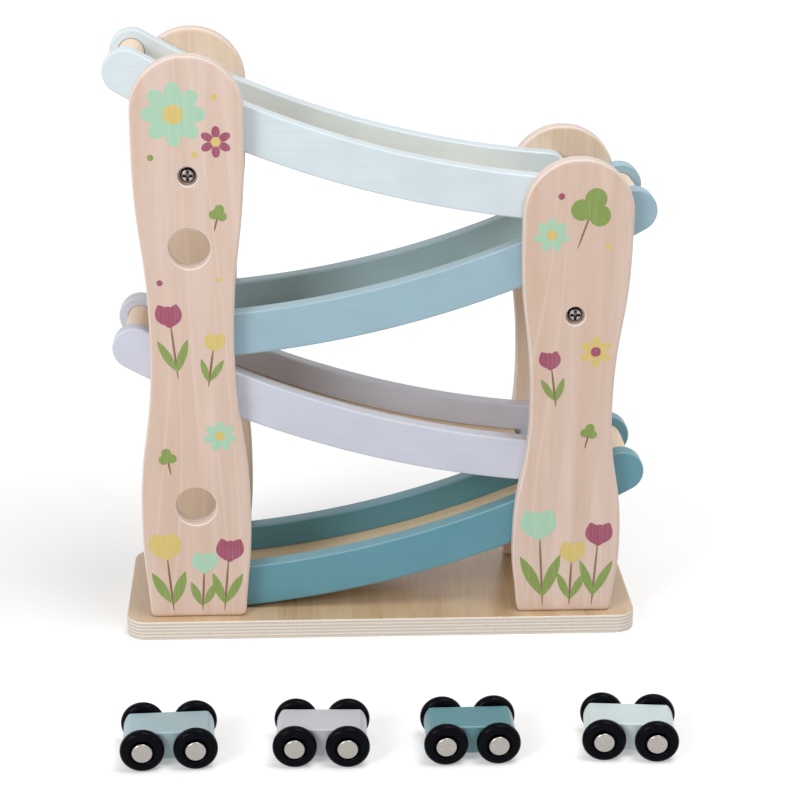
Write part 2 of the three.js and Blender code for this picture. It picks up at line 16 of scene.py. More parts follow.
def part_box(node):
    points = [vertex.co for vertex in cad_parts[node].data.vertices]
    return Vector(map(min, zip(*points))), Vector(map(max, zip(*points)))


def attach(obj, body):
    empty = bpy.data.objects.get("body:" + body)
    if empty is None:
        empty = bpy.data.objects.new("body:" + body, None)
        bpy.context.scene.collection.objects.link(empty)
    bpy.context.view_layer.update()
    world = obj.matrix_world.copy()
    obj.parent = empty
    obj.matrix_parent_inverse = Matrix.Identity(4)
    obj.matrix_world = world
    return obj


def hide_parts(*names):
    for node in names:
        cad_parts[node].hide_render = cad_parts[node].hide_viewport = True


bl_info = {
    "name": "Zig-zag car run",
    "version": (1, 0, 0),
    "blender": (4, 5, 0),
    "location": "View3D > Sidebar > Car run",
    "description": "Dresses a wooden zig-zag car run with its wood, paint, prints and studio",
    "category": "Object",
}

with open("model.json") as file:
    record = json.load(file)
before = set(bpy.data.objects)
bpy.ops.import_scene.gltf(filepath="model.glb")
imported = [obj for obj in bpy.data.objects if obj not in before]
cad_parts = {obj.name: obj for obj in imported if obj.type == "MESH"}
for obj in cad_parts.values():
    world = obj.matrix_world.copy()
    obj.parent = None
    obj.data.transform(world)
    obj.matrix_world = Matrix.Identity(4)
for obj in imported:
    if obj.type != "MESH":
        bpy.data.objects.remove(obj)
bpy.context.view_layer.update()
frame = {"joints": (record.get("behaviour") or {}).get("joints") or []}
MM = 0.001
TRACK = "track"
SIDES = ("front", "back")
ORIGIN = (0.0, 0.0, 0.0)
Y_AXIS = (0.0, 1.0, 0.0)
OVERRUN = 1 * MM

# Ramps
RAMP_NUMBERS = (1, 2, 3, 4)
RAMP_RADIUS = 480 * MM
RAIL_HEIGHT = 21.5 * MM
FLOOR_LIP = 4 * MM
FLOOR_THICKNESS = 4 * MM
ARC_X = 120 * MM
LOWER_END_X = 93 * MM
FLOOR_END_X = 71.2 * MM
LOWER_TOP_RADIUS = 8 * MM
LOWER_UNDER_RADIUS = 12 * MM
UPPER_END_RADIUS = 10.7 * MM
END_RUN = 14 * MM
GROOVE_DEPTH = 3 * MM
GROOVE_GAP = 0.3 * MM
GROOVE_RUNOUT = 3.5 * MM
FLOOR_TO_DOWEL = 6.75 * MM
SOCKET_DEPTH = 5 * MM
SOCKET_RADIUS = 6.55 * MM

# Posts
FOOT_HALF_WIDTH = 24 * MM
FOOT_RADIUS = 3 * MM
BULGE_HALF_WIDTH = 27 * MM
WAIST_HALF_WIDTH = 20.2 * MM
TOP_HALF_WIDTH = 26.5 * MM
SHOULDER = 13 * MM
POST_HEIGHTS = {"left": (143 * MM, 52 * MM), "right": (109 * MM, 38 * MM)}
PEEP_HOLES = {"left": (203.29 * MM, 70.5 * MM), "right": ()}
PEEP_HOLE_RADIUS = 10 * MM

# Screws
COUNTERBORE_RADIUS = 4.6 * MM
POST_COUNTERBORE = 3.8 * MM
BASE_COUNTERBORE = 4 * MM
SCREW_HEAD_RADIUS = 3.6 * MM
SCREW_HEAD_HEIGHT = 2 * MM
SCREW_HEAD_ROUND = 1.5 * MM
SCREW_RADIUS = 2 * MM
SCREW_LENGTH = 25 * MM
SCREW_TIP = 4 * MM
SLOT_LENGTH = 5 * MM
SLOT_WIDTH = 1.4 * MM
SLOT_DEPTH = 1.3 * MM

# Cars
CAR_NUMBERS = (1, 2, 3, 4)
CAR_LENGTH = 41 * MM
CAR_WIDTH = 19 * MM
CAR_HEIGHT = 13.6 * MM
WHEEL_RADIUS = 10 * MM
WHEEL_HALF_WIDTH = 2.6 * MM
WHEEL_BORE = 1.65 * MM
HUB_RADIUS = 5.4 * MM
HUB_DEPTH = 1.4 * MM
AXLE_RADIUS = 1.5 * MM
AXLE_HEAD_RADIUS = 4.7 * MM
AXLE_HEAD_SEAT = 14 * MM
AXLE_END = 16 * MM

# Facets
ARC_STEPS = 44
CURVE_STEPS = 14
ROUND_STEPS = 6
EDGE_STEPS = 3
TOP_STEPS = 14
LATHE_STEPS = 56
ROD_SIDES = 48
DOT_SIDES = 28
TINY = 1e-6
SHARP_ANGLE = math.radians(42)
SQUARE_ON = 0.9
EDGE_ON = 0.1

# Finishes: clouds, grains and the like are features to the metre along X, Y and Z, a gloss is the least
# and the greatest roughness and the strength of reflections, and a bump is a strength and a depth
NOISE_SPAN = (0.3, 0.7)
SOFT = 2.0
MEDIUM = 3.0
CRISP = 4.0
WHITE = (1.0, 1.0, 1.0)

# Plywood: a grain is its streaks and its fibres
POST_GRAIN = ((85.0, 85.0, 5.0), (1150.0, 1150.0, 34.0))
BOARD_GRAIN = ((90.0, 6.0, 90.0), (1200.0, 36.0, 1200.0))
FLOOR_GRAIN = ((6.0, 130.0, 8.0), (36.0, 1200.0, 60.0))
POST_GLOSS = (0.46, 0.56, 0.45)
BOARD_GLOSS = (0.26, 0.36, 1.0)
FLOOR_GLOSS = (0.36, 0.46, 0.45)
POST_PLIES = 7
BOARD_PLIES = 11
FLOOR_PLIES = 3
STREAK_SPAN = (0.32, 0.66)
STREAK_WAVER = 0.5
FLECK_SPAN = (0.30, 0.52)
FLECK_TONE = (0.84, 0.81, 0.78)
FACE_FLECKS = 0.28
EDGE_FLECKS = 0.5
FACE_SPAN = (0.70, 0.93)
PLY_SPAN = (0.40, 0.70)
PLYWOOD_BUMP = (0.18, 0.15 * MM)

# Growth rings: pale lines along the grain of plywood
RING_COUNT = 9
RING_STRETCH = 0.45
RING_WAVER = 0.3
RING_WIDTH = 0.10
RING_SHARE = 0.45
RING_GAIN = 1.10

# Turned bars
BAR_STREAKS = (260.0, 14.0, 260.0)
BAR_FIBRES = (1500.0, 45.0, 1500.0)
BAR_FLECK_TONE = (0.82, 0.79, 0.75)
BAR_FLECKS = 0.5
BAR_GLOSS = (0.48, 0.58, 0.4)
BAR_BUMP = (0.2, 0.15 * MM)

# Paint
RAIL_GRAIN = (25.0, 700.0, 500.0)
CAR_GRAIN = (45.0, 900.0, 900.0)
PAINT_CLOUDS = (45.0, 45.0, 45.0)
THIN_PAINT = 0.955
FULL_PAINT = 1.03
GRAIN_SPAN = (0.32, 0.55)
GRAIN_TONE = (0.95, 0.95, 0.95)
GRAIN_SHARE = 0.6
# Painted highlight along the paint's rounded edges: the slope where it is strongest, its span, its share, and
# how much paler it makes the paint
HIGHLIGHT_SLOPE = 0.6
HIGHLIGHT_SPAN = (0.10, 0.36)
HIGHLIGHT_SHARE = 0.50
HIGHLIGHT_PALER = 0.30
PAINT_GLOSS = (0.28, 0.38, 0.5)
PAINT_BUMP = (0.10, 0.1 * MM)

# Wheels
WHEEL_CLOUDS = (220.0, 220.0, 220.0)
WHEEL_PITS = (2600.0, 2600.0, 2600.0)
WHEEL_DARKER = 0.8
WHEEL_GLOSS = (0.16, 0.24, 0.05)
WHEEL_BUMP = (0.04, 0.05 * MM)

# Metal
METAL_CLOUDS = (500.0, 500.0, 500.0)
METAL_BRUSH = (900.0, 900.0, 6000.0)
BRUSH_DARKER = 0.78
# Painted shade in the metal's hollows: its tone, how far the occlusion looks, and the span over which it
# fades
HOLLOW_SHADE_TONE = 0.06
HOLLOW_SHADE_REACH = 2.4 * MM
HOLLOW_SHADE_SPAN = (0.62, 0.92)
AXLE_GLOSS = (0.20, 0.36, 0.5)
SCREW_GLOSS = (0.16, 0.28, 0.5)
METAL_BUMP = (0.06, 0.03 * MM)

# Prints: turns are in degrees, the widths of stems in millimetres, and the rest in shares of a flower
INK_FIBRES = (1300.0, 1300.0, 40.0)
INK_SPAN = (0.28, 0.50)
INK_PALER = 0.10
INK_GLOSS = (0.50, 0.60, 0.35)
INK_BUMP = (0.12, 0.1 * MM)
INK_STEP = 0.01
PETAL_OUT = 0.62
PETAL_WIDTH = 0.52
PETAL_LENGTH = 0.78
HEART_WIDTH = 0.62
STEM_WIDTH = 1.1
STEM_OVERLAP = 1.04
STEM_IN_CUP = 0.7
CUP_DROP = 0.3
CUP_OUT = 0.2
CUP_TURN = 20.0
CUP_WIDTH = 0.66
CUP_MIDDLE_DROP = 0.06
CUP_MIDDLE_HEIGHT = 0.9
LEAF_OUT = 0.30
LEAF_UP = 0.42
LEAF_TURN = 24.0
LEAF_WIDTH = 0.34
LEAF_LENGTH = 0.66
CLOVER_STEM_WIDTH = 0.9
CLOVER_OUT = 0.24
CLOVER_TURN = 115.0

# Studio
SENSOR_WIDTH = 36.0
KEY_PLACE = (0.38, -0.35, 1.70)
KEY_SIZE = 0.9
FILL_PLACE = (-1.10, -1.30, 0.95)
FILL_SIZE = 0.8
LAMP_TARGET = (0.0, 0.0, 0.13)
STAGE_SIZE = 8.0
STAGE_ROUGH = 0.9
STAGE_SHINE = 0.1
DEEPEST_SHADE = (-150 * MM, -60 * MM, 0.0)
SHADE_SPAN = (0.20, 1.1)
GLOW_SPAN = (0.30, 0.74)


def linear(red, green, blue):
    """A colour given as 8-bit display values, in the linear values that shaders use."""
    shares = [value / 255 for value in (red, green, blue)]
    return tuple(share / 12.92 if share < 0.04045 else ((share + 0.055) / 1.055) ** 2.4 for share in shares)


def colour_setting(name, description, red, green, blue):
    return FloatVectorProperty(
        name=name, description=description, subtype="COLOR", size=3, min=0.0, max=1.0,
        default=linear(red, green, blue),
    )


def number_setting(name, description, value, unit="NONE"):
    return FloatProperty(name=name, description=description, default=value, min=0.0, unit=unit)


def length_setting(name, description, metres):
    return number_setting(name, description, metres, "LENGTH")


class WoodSettings(bpy.types.PropertyGroup):
    """Edges and colours of the bare wood"""

    post_edge: length_setting("Post edge", "Rounding of the posts' edges", 1.6 * MM)
    hole_edge: length_setting("Hole edge", "Rounding of the edges of the holes", 0.6 * MM)
    bar_edge: length_setting("Bar edge", "Rounding of the ends of the turned bars", 0.6 * MM)
    base_corner: length_setting("Base corner", "Radius of the base board's corners", 10 * MM)
    base_edge: length_setting("Base edge", "Rounding of the base board's edges", 0.8 * MM)
    post_pale: colour_setting("Post pale", "Pale streaks of the front posts' birch", 228, 204, 191)
    post_deep: colour_setting("Post deep", "Deep streaks of the front posts' birch", 220, 190, 169)
    back_pale: colour_setting("Back pale", "Pale streaks of the back posts' birch", 235, 212, 189)
    back_deep: colour_setting("Back deep", "Deep streaks of the back posts' birch", 225, 199, 174)
    rim_pale: colour_setting("Rim pale", "Pale layers of the posts' edges", 241, 225, 216)
    rim_deep: colour_setting("Rim deep", "Deep layers of the posts' edges", 232, 210, 198)
    bar_pale: colour_setting("Bar pale", "Pale streaks of the turned bars", 255, 237, 214)
    bar_deep: colour_setting("Bar deep", "Deep streaks of the turned bars", 250, 224, 194)
    board_pale: colour_setting("Board pale", "Pale streaks of the base board", 214, 187, 152)
    board_deep: colour_setting("Board deep", "Deep streaks of the base board", 197, 164, 126)
    floor_pale: colour_setting("Floor pale", "Pale streaks of the ramps' floors", 250, 227, 194)
    floor_deep: colour_setting("Floor deep", "Deep streaks of the ramps' floors", 240, 212, 174)
    ply_pale: colour_setting("Ply pale", "Pale layers of the boards' edges", 237, 227, 215)
    ply_deep: colour_setting("Ply deep", "Deep layers of the boards' edges", 208, 195, 182)


class RampSettings(bpy.types.PropertyGroup):
    """Edges and paints of the ramps"""

    rail_edge: length_setting("Rail edge", "Rounding of the rails' edges", 1.1 * MM)
    paint_1: colour_setting("First ramp", "Paint of the topmost ramp", 220, 233, 239)
    paint_2: colour_setting("Second ramp", "Paint of the second ramp", 158, 190, 204)
    paint_3: colour_setting("Third ramp", "Paint of the third ramp", 211, 214, 228)
    paint_4: colour_setting("Fourth ramp", "Paint of the lowest ramp", 96, 153, 168)


class CarSettings(bpy.types.PropertyGroup):
    """Edges, paints and metal of the cars, and the metal of the screws"""

    bow: length_setting("Car end bow", "How far the bodies' ends bow outwards", 2.7 * MM)
    edge: length_setting("Car edge", "Rounding of the bodies' edges", 0.8 * MM)
    tread_round: length_setting("Tread round", "Rounding of the wheels' shoulders", 2.2 * MM)
    hub_round: length_setting("Hub round", "Rounding of the hub's rim", 1.0 * MM)
    head_round: length_setting("Axle head round", "Rounding of the axle heads", 0.8 * MM)
    paint_1: colour_setting("First car", "Paint of the first car", 163, 187, 194)
    paint_2: colour_setting("Second car", "Paint of the second car", 198, 199, 207)
    paint_3: colour_setting("Third car", "Paint of the third car", 98, 147, 155)
    paint_4: colour_setting("Fourth car", "Paint of the fourth car", 212, 226, 226)
    tyre: colour_setting("Wheel", "Black of the wheels", 7, 8, 15)
    steel: colour_setting("Axle", "Steel of the axles", 182, 176, 171)
    screw: colour_setting("Screw", "Plated steel of the screws", 172, 162, 162)


class PrintSettings(bpy.types.PropertyGroup):
    """Thickness and inks of the prints on the front posts"""

    ink: length_setting("Ink", "Thickness of the ink", 0.05 * MM)
    green: colour_setting("Green", "Green ink", 138, 160, 84)
    mint: colour_setting("Mint", "Mint ink", 176, 214, 186)
    yellow: colour_setting("Yellow", "Yellow ink", 222, 198, 120)
    berry: colour_setting("Berry", "Berry ink", 165, 84, 108)
    brown: colour_setting("Brown", "Brown ink", 138, 106, 80)


class StudioSettings(bpy.types.PropertyGroup):
    """Camera, lamps and floor"""

    lens: number_setting("Lens", "Focal length of the camera", 95.0, "CAMERA")
    camera_place: FloatVectorProperty(
        name="Camera place", description="Where the camera stands",
        subtype="TRANSLATION", unit="LENGTH", size=3,
        default=(-47.7 * MM, -999.8 * MM, 490.9 * MM),
    )
    camera_turn: FloatVectorProperty(
        name="Camera turn", description="Tilt, roll and heading of the camera",
        subtype="EULER", unit="ROTATION", size=3,
        default=(math.radians(69.25), math.radians(0.59), math.radians(-3.31)),
    )
    key_power: number_setting("Key power", "Power of the lamp overhead", 11.5, "POWER")
    fill_power: number_setting("Fill power", "Power of the lamp at the front left", 13.3, "POWER")
    sky: number_setting("Sky", "Strength of the even light from all round", 0.40)
    floor: colour_setting("Floor", "Pale floor", 236, 236, 236)


class Finish:
    """A node material that is built step by step round one Principled shader."""

    def __init__(self, name):
        self.material = bpy.data.materials.new(name)
        self.material.use_nodes = True
        self.tree = self.material.node_tree
        self.shader = self.tree.nodes["Principled BSDF"]
        self.place = self.node("ShaderNodeTexCoord").outputs["Object"]

    def node(self, kind, inputs=None, **options):
        made = self.tree.nodes.new(kind)
        for option, value in options.items():
            setattr(made, option, value)
        for socket, value in (inputs or {}).items():
            self.feed(made.inputs[socket], value)
        return made

    def feed(self, socket, value):
        if isinstance(value, bpy.types.NodeSocket):
            self.tree.links.new(value, socket)
        else:
            socket.default_value = value

    def noise(self, stretch, detail, waver=0.0):
        """Noise with so many features to the metre along X, Y and Z. waver bends its lines."""
        mapping = self.node("ShaderNodeMapping", {"Vector": self.place, "Scale": stretch})
        inputs = {"Vector": mapping.outputs["Vector"], "Scale": 1.0, "Detail": detail, "Distortion": waver}
        return self.node("ShaderNodeTexNoise", inputs).outputs["Fac"]

    def between(self, amount, first, second, span=NOISE_SPAN):
        """Goes from the first colour to the second as the amount goes through a span."""
        ramp = self.node("ShaderNodeValToRGB", {"Fac": amount})
        for element, position, colour in zip(ramp.color_ramp.elements, span, (first, second)):
            element.position = position
            element.color = (*colour, 1.0)
        return ramp.outputs["Color"]

    def mix(self, share, first, second, blend="MIX"):
        mixer = self.node("ShaderNodeMix", data_type="RGBA", blend_type=blend)
        colours = [socket for socket in mixer.inputs if socket.type == "RGBA"]
        self.feed(mixer.inputs[0], share)
        self.feed(colours[0], first)
        self.feed(colours[1], second)
        return next(socket for socket in mixer.outputs if socket.type == "RGBA")

    def math(self, operation, first, second=0.0):
        return self.node("ShaderNodeMath", {0: first, 1: second}, operation=operation).outputs[0]

    def span(self, value, low, high, from_share=0.0, to_share=1.0):
        """Goes from one share to the other as the value goes from low to high."""
        inputs = {"Value": value, "From Min": low, "From Max": high, "To Min": from_share, "To Max": to_share}
        return self.node("ShaderNodeMapRange", inputs).outputs["Result"]

    def axis(self, vector, name):
        return self.node("ShaderNodeSeparateXYZ", {0: vector}).outputs[name]

    def facing(self, name):
        """How squarely the surface faces along an axis, from 0 to 1."""
        normal = self.node("ShaderNodeNewGeometry").outputs["Normal"]
        return self.math("ABSOLUTE", self.axis(normal, name))

    def set(self, **values):
        """Feeds the shader's sockets, named with _ for each space."""
        for socket, value in values.items():
            self.feed(self.shader.inputs[socket.replace("_", " ")], value)

    def gloss(self, cloud, smooth, rough, shine):
        """Lets the roughness wander between two values, and sets the strength of reflections."""
        self.set(Roughness=self.span(cloud, *NOISE_SPAN, smooth, rough), Specular_IOR_Level=shine)

    def bump(self, height, strength, distance):
        inputs = {"Height": height, "Strength": strength, "Distance": distance}
        self.feed(self.shader.inputs["Normal"], self.node("ShaderNodeBump", inputs).outputs["Normal"])
        return self


def scaled(colour, gain):
    return [min(1.0, gain * share) for share in colour]


def paler(colour, white):
    return [share + white * (1.0 - share) for share in colour]


def plywood(name, pale, deep, plies, grain, gloss, through, first_face, thickness, count):
    """Clear-coated plywood: long streaks, rings and fibres on its faces, and layers on its edges.

    plies is the pale and the deep colour of its layers, and count their number. through names the axis
    along its thickness, which starts at first_face.
    """
    streaks, fibres = grain
    finish = Finish(name)
    broad = finish.noise(streaks, MEDIUM, STREAK_WAVER)
    fine = finish.noise(fibres, CRISP)
    face = finish.between(broad, deep, pale, STREAK_SPAN)
    ring = finish.noise([RING_STRETCH * share for share in streaks], 0.0, RING_WAVER)
    ring = finish.math("PINGPONG", finish.math("MULTIPLY", ring, RING_COUNT), 0.5)
    bright = (*scaled(pale, RING_GAIN), 1.0)
    face = finish.mix(finish.span(ring, 0.0, RING_WIDTH, RING_SHARE, 0.0), face, bright)
    fleck = finish.between(fine, FLECK_TONE, WHITE, FLECK_SPAN)
    face = finish.mix(FACE_FLECKS, face, fleck, "MULTIPLY")
    depth = finish.math("SUBTRACT", finish.math("ABSOLUTE", finish.axis(finish.place, through)), first_face)
    layer = thickness / count
    wave = finish.math("PINGPONG", finish.math("ADD", depth, layer / 2), layer)
    stripe = finish.span(wave, *[share * layer for share in PLY_SPAN])
    edge = finish.mix(stripe, (*plies[1], 1.0), (*plies[0], 1.0))
    edge = finish.mix(EDGE_FLECKS, edge, fleck, "MULTIPLY")
    side = finish.span(finish.facing(through), *FACE_SPAN)
    finish.set(Base_Color=finish.mix(side, edge, face))
    finish.gloss(broad, *gloss)
    return finish.bump(fine, *PLYWOOD_BUMP).material


def round_wood(name, pale, deep):
    """A turned bar with its grain along Y."""
    finish = Finish(name)
    broad = finish.noise(BAR_STREAKS, MEDIUM)
    fine = finish.noise(BAR_FIBRES, CRISP)
    tone = finish.between(broad, deep, pale)
    fleck = finish.between(fine, BAR_FLECK_TONE, WHITE, FLECK_SPAN)
    finish.set(Base_Color=finish.mix(BAR_FLECKS, tone, fleck, "MULTIPLY"))
    finish.gloss(fine, *BAR_GLOSS)
    return finish.bump(fine, *BAR_BUMP).material


def satin_paint(name, colour, stretch):
    """Satin paint over a wood's grain, with a painted highlight that makes it paler along the rounded edges.
    """
    finish = Finish(name)
    cloud = finish.noise(PAINT_CLOUDS, SOFT)
    grain = finish.noise(stretch, CRISP)
    tone = finish.between(cloud, scaled(colour, THIN_PAINT), scaled(colour, FULL_PAINT))
    shade = finish.between(grain, GRAIN_TONE, WHITE, GRAIN_SPAN)
    tone = finish.mix(GRAIN_SHARE, tone, shade, "MULTIPLY")
    # painted highlight: paler paint on the rounded edges, between faces that look along Y and faces that look
    # across it
    off_edge = finish.math("ABSOLUTE", finish.math("SUBTRACT", finish.facing("Y"), HIGHLIGHT_SLOPE))
    painted_highlight = finish.span(off_edge, *HIGHLIGHT_SPAN, HIGHLIGHT_SHARE, 0.0)
    finish.set(Base_Color=finish.mix(painted_highlight, tone, (*paler(colour, HIGHLIGHT_PALER), 1.0)))
    finish.gloss(cloud, *PAINT_GLOSS)
    return finish.bump(grain, *PAINT_BUMP).material


def glossy_black(name, colour):
    """The moulded wheels, with faint clouds and pits."""
    finish = Finish(name)
    cloud = finish.noise(WHEEL_CLOUDS, SOFT)
    pits = finish.noise(WHEEL_PITS, SOFT)
    finish.set(Base_Color=finish.between(cloud, scaled(colour, WHEEL_DARKER), colour))
    finish.gloss(cloud, *WHEEL_GLOSS)
    return finish.bump(pits, *WHEEL_BUMP).material


def brushed_metal(name, colour, gloss):
    """Metal with brush marks, and painted shade in its hollows."""
    finish = Finish(name)
    cloud = finish.noise(METAL_CLOUDS, SOFT)
    brush = finish.noise(METAL_BRUSH, MEDIUM)
    tone = finish.between(brush, scaled(colour, BRUSH_DARKER), colour)
    # painted shade: the colour darkens where ambient occlusion finds hollows, such as the screws' cross slots
    # and the wheel hubs round the axle heads
    painted_shade = (*scaled(colour, HOLLOW_SHADE_TONE), 1.0)
    open_share = finish.node("ShaderNodeAmbientOcclusion", {"Distance": HOLLOW_SHADE_REACH}).outputs["AO"]
    finish.set(Base_Color=finish.mix(finish.span(open_share, *HOLLOW_SHADE_SPAN), painted_shade, tone), Metallic=1.0)
    finish.gloss(cloud, *gloss)
    return finish.bump(brush, *METAL_BUMP).material


def printed_ink(name, colour):
    """Ink that lets a little of the wood's fibres through."""
    finish = Finish(name)
    fine = finish.noise(INK_FIBRES, CRISP)
    finish.set(Base_Color=finish.between(fine, paler(colour, INK_PALER), colour, INK_SPAN))
    finish.gloss(fine, *INK_GLOSS)
    return finish.bump(fine, *INK_BUMP).material


def shared(name, make, *values):
    """The material of that name, made on its first use."""
    return bpy.data.materials.get(name) or make(name, *values)


def post_finish(wood, side):
    low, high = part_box("post_back_left")
    pale, deep = (wood.post_pale, wood.post_deep) if side == "front" else (wood.back_pale, wood.back_deep)
    return shared(
        f"birch_{side}_post", plywood, pale, deep, (wood.rim_pale, wood.rim_deep),
        POST_GRAIN, POST_GLOSS, "Y", low.y, high.y - low.y, POST_PLIES,
    )


def board_finish(wood):
    low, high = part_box("base_board")
    return shared(
        "birch_board", plywood, wood.board_pale, wood.board_deep, (wood.ply_pale, wood.ply_deep),
        BOARD_GRAIN, BOARD_GLOSS, "Z", low.z, high.z - low.z, BOARD_PLIES,
    )


def floor_finish(wood):
    return shared(
        "birch_floor", plywood, wood.floor_pale, wood.floor_deep, (wood.ply_pale, wood.ply_deep),
        FLOOR_GRAIN, FLOOR_GLOSS, "Z", 0.0, FLOOR_THICKNESS, FLOOR_PLIES,
    )


def dowel_finish(wood):
    return shared("birch_dowel", round_wood, wood.bar_pale, wood.bar_deep)


def round_off(bm, parts, radius, steps, kind="EDGES"):
    """Rounds edges, or the corners of a flat section."""
    bmesh.ops.bevel(
        bm, geom=parts, offset=radius, offset_type="OFFSET", segments=steps,
        profile=0.5, affect=kind, material=-1,
    )


def upright_edges(bm):
    return [edge for edge in bm.edges if abs(edge.verts[0].co.z - edge.verts[1].co.z) > TINY]


def rim_edges(bm, axis):
    """The edges between a face that looks along an axis and one that looks across it."""
    bm.normal_update()
    rims = []
    for edge in bm.edges:
        slants = [abs(face.normal[axis]) for face in edge.link_faces]
        if len(slants) == 2 and max(slants) > SQUARE_ON and min(slants) < EDGE_ON:
            rims.append(edge)
    return rims


def cross_edge(bm, x, z):
    """The edge along Y that is nearest to a place."""
    place = Vector((x, z))
    along = [edge for edge in bm.edges if (edge.verts[0].co.xz - edge.verts[1].co.xz).length < TINY]
    return min(along, key=lambda edge: (edge.verts[0].co.xz - place).length)


def settle(bm):
    """Merges doubles and turns all faces outwards."""
    bmesh.ops.remove_doubles(bm, verts=bm.verts[:], dist=TINY)
    bmesh.ops.recalc_face_normals(bm, faces=bm.faces[:])
    return bm


def lathe(section, rounds):
    """Turns a closed section of (radius, place along Y) corners round the Y axis.

    rounds gives the radius of each corner that is rounded, by its number.
    """
    bm = bmesh.new()
    corners = [bm.verts.new((radius, along, 0.0)) for radius, along in section]
    bm.faces.new(corners)
    for number, radius in rounds.items():
        round_off(bm, [corners[number]], radius, ROUND_STEPS, "VERTICES")
    bmesh.ops.delete(bm, geom=bm.faces[:], context="FACES_ONLY")
    on_axis = [edge for edge in bm.edges if max(vert.co.x for vert in edge.verts) < TINY]
    bmesh.ops.delete(bm, geom=on_axis, context="EDGES")
    bmesh.ops.spin(
        bm, geom=bm.verts[:] + bm.edges[:], cent=ORIGIN, axis=Y_AXIS,
        angle=math.tau, steps=LATHE_STEPS, use_merge=True,
    )
    return settle(bm)


def add_rod(bm, radius, length, place):
    """Adds a round bar that lies along Z before it is put in its place."""
    bmesh.ops.create_cone(
        bm, cap_ends=True, segments=ROD_SIDES, radius1=radius, radius2=radius,
        depth=length, matrix=place,
    )


def block(low, high):
    """A box between two corners."""
    bm = bmesh.new()
    size = Vector(high) - Vector(low)
    middle = (Vector(high) + Vector(low)) / 2
    bmesh.ops.create_cube(bm, size=1.0, matrix=Matrix.Translation(middle) @ Matrix.Diagonal((*size, 1.0)))
    return bm


def round_block(low, high, corner, edge):
    """A box with round upright corners, and a rounding on its upper and lower edges."""
    bm = block(low, high)
    round_off(bm, upright_edges(bm), corner, ROUND_STEPS)
    round_off(bm, rim_edges(bm, 2), edge, EDGE_STEPS)
    return settle(bm)


def bowed_block(half, bow, edge):
    """A box round the origin whose ends along X bow outwards, with a rounding on its edges."""
    flat_end = half - Vector((bow, 0.0, 0.0))
    bm = block(-flat_end, flat_end)
    cuts = 2 * ROUND_STEPS - 1
    bmesh.ops.subdivide_edges(bm, edges=upright_edges(bm), cuts=cuts, use_grid_fill=True)
    radius = (half.z ** 2 + bow ** 2) / (2 * bow)
    for vert in bm.verts:
        out = math.sqrt(radius ** 2 - vert.co.z ** 2) - (radius - bow)
        vert.co.x += math.copysign(out, vert.co.x)
    ridges = [cross_edge(bm, x, z) for x in (-flat_end.x, flat_end.x) for z in (-half.z, half.z)]
    round_off(bm, ridges, edge, EDGE_STEPS)
    round_off(bm, rim_edges(bm, 1), edge, EDGE_STEPS)
    return settle(bm)


def arc_bar(inner, outer, near, far, lower, upper, end_run=0.0):
    """A bar bent round the Y axis between two radii, two sides and two angles, with straight ends."""
    bm = bmesh.new()
    corners = [(near, inner), (far, inner), (far, outer), (near, outer)]
    section = bm.faces.new([bm.verts.new((0.0, side, -radius)) for side, radius in corners])
    bmesh.ops.rotate(bm, verts=bm.verts[:], cent=ORIGIN, matrix=Matrix.Rotation(lower, 3, "Y"))
    last = [section, *section.edges, *section.verts]
    end_turn = end_run / outer
    for turn, steps in ((end_turn, 1), (upper - lower - 2 * end_turn, ARC_STEPS), (end_turn, 1)):
        if turn > 0.0:
            spun = bmesh.ops.spin(bm, geom=last, cent=ORIGIN, axis=Y_AXIS, angle=turn, steps=steps)
            last = spun["geom_last"]
    return settle(bm)


def to_object(bm, name):
    mesh = bpy.data.meshes.new(name)
    bm.to_mesh(mesh)
    bm.free()
    made = bpy.data.objects.new(name, mesh)
    bpy.context.scene.collection.objects.link(made)
    return made


def carved(bm, cutter_bm):
    """The first shape with the second cut out of it."""
    blank = to_object(bm, "blank")
    cutter = to_object(cutter_bm, "cutter")
    carve = blank.modifiers.new("carve", "BOOLEAN")
    carve.operation = "DIFFERENCE"
    carve.solver = "EXACT"
    carve.object = cutter
    shaped = blank.evaluated_get(bpy.context.evaluated_depsgraph_get()).to_mesh()
    result = bmesh.new()
    result.from_mesh(shaped)
    for spent in (blank, cutter):
        mesh = spent.data
        bpy.data.objects.remove(spent)
        bpy.data.meshes.remove(mesh)
    return result


def hole_tool(radius, edge, start, end, x, z, through):
    """A round tool along Y that flares at the face where it starts, and where it ends if it goes through."""
    run = math.copysign(OVERRUN, end - start)
    turn = math.copysign(edge, end - start)
    wide = radius + edge
    section = [(0.0, start - run), (wide, start - run), (wide, start), (radius, start + turn)]
    rounds = {3: edge / 2}
    if through:
        section += [(radius, end - turn), (wide, end), (wide, end + run), (0.0, end + run)]
        rounds[4] = edge / 2
    else:
        section += [(radius, end), (0.0, end)]
    tool = lathe(section, rounds)
    bmesh.ops.translate(tool, verts=tool.verts[:], vec=(x, 0.0, z))
    return tool


def show(bm, name, body, material, node=None, place=None):
    """Makes a finished piece from a shape, in the place given, riding on its body and standing for a node."""
    if place is not None:
        bm.transform(place)
    settle(bm)
    piece = to_object(bm, name)
    piece.data.materials.append(material)
    piece.data.shade_smooth()
    piece.data.set_sharp_from_angle(angle=SHARP_ANGLE)
    even = piece.modifiers.new("even_shading", "WEIGHTED_NORMAL")
    even.keep_sharp = True
    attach(piece, body)
    if node is not None:
        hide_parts(node)
    return piece


def middle_of(node):
    low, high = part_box(node)
    return (low + high) / 2


def half_turn(turned):
    """A half turn about Z, or none."""
    return Matrix.Rotation(math.pi if turned else 0.0, 4, "Z")


